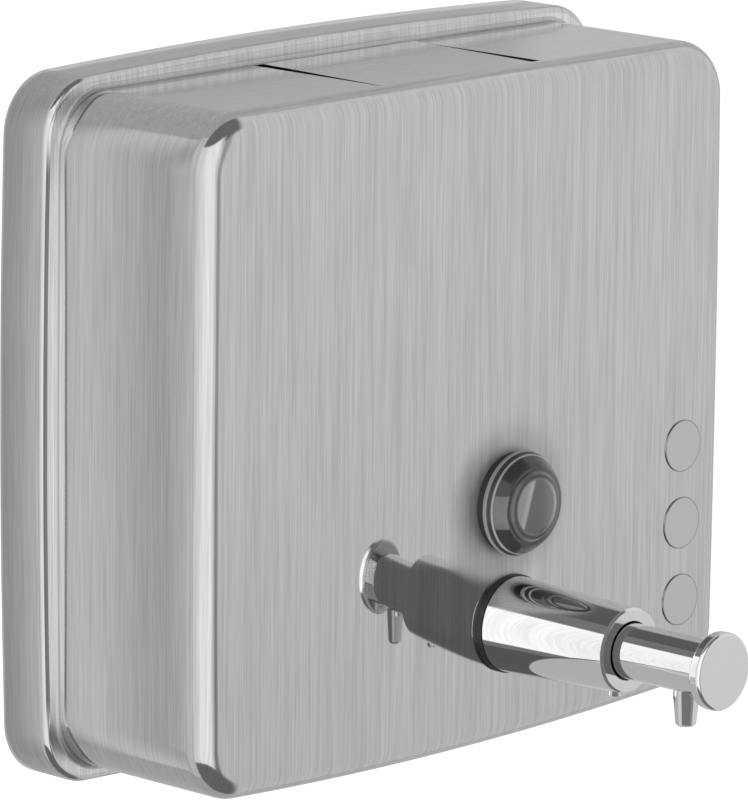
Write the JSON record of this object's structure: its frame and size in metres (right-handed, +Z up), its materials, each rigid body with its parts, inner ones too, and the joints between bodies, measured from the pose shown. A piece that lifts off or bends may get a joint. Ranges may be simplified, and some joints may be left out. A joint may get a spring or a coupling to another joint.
{
  "type": "liquid soap dispenser",
  "caption": "Wall-mounted stainless steel liquid soap dispenser: box tank with a stepped rim, hinged filler lid, round level window and a chrome push valve with a spout.",
  "frame": {"origin": "on the wall plane, in the middle of the wall plate's hole pattern and of the rim", "axes": "+X to the right as one faces the front, +Y into the wall, +Z up; the front faces -Y"},
  "size_m": [0.18, 0.1226, 0.1614],
  "materials": {
    "brushed_steel": "fine vertical brushing",
    "mill_steel": "dull mill finish",
    "screw_steel": "plain",
    "blank_disc": "satin",
    "chrome": "polished",
    "black_rubber": "matt",
    "black_plastic": "satin",
    "white_plastic": "satin",
    "clear_plastic": "smooth, smoky clear"
  },
  "bodies": {
    "tank": {"body_shell": "brushed_steel", "back_panel": "mill_steel", "hanger_rail": "mill_steel", "wall_plate": "mill_steel", "lock_screw": "screw_steel", "filler_frame": "mill_steel", "lid_hinge_pin": "mill_steel", "sight_lens": "clear_plastic", "sight_gasket": "black_rubber", "sight_washer": "black_rubber", "sight_nut": "white_plastic", "label_discs": "blank_disc", "valve_housing": "chrome", "valve_gasket": "black_rubber", "valve_washer": "black_rubber", "valve_nut": "white_plastic", "housing_set_screw": "chrome", "pump_cylinder": "white_plastic", "gland_ring": "black_rubber", "guide_bush": "black_plastic", "return_spring": "screw_steel", "inlet_body": "white_plastic", "suction_tube": "white_plastic"},
    "lid": {"filler_lid": "brushed_steel"},
    "plunger": {"plunger_tube": "chrome", "push_button": "chrome", "spout": "chrome", "piston": "white_plastic", "piston_seal": "black_rubber", "outlet_valve": "black_rubber"},
    "foot_ball": {"inlet_ball": "screw_steel"}
  },
  "joints": [
    {"name": "lid_hinge", "type": "hinge", "parent": "tank", "child": "lid", "pos_m": [0, -0.018, 0.0734], "axis": [-1, 0, 0], "range_deg": [0, 94]},
    {"name": "button_push", "type": "slide", "parent": "tank", "child": "plunger", "axis": [0, 1, 0], "range_m": [0, 0.012], "stiffness_N_per_m": 300, "springref_m": -0.012, "deforming": ["return_spring"]},
    {"name": "ball_lift", "type": "slide", "parent": "tank", "child": "foot_ball", "axis": [0, 0, 1], "range_m": [0, 0.0015]}
  ]
}
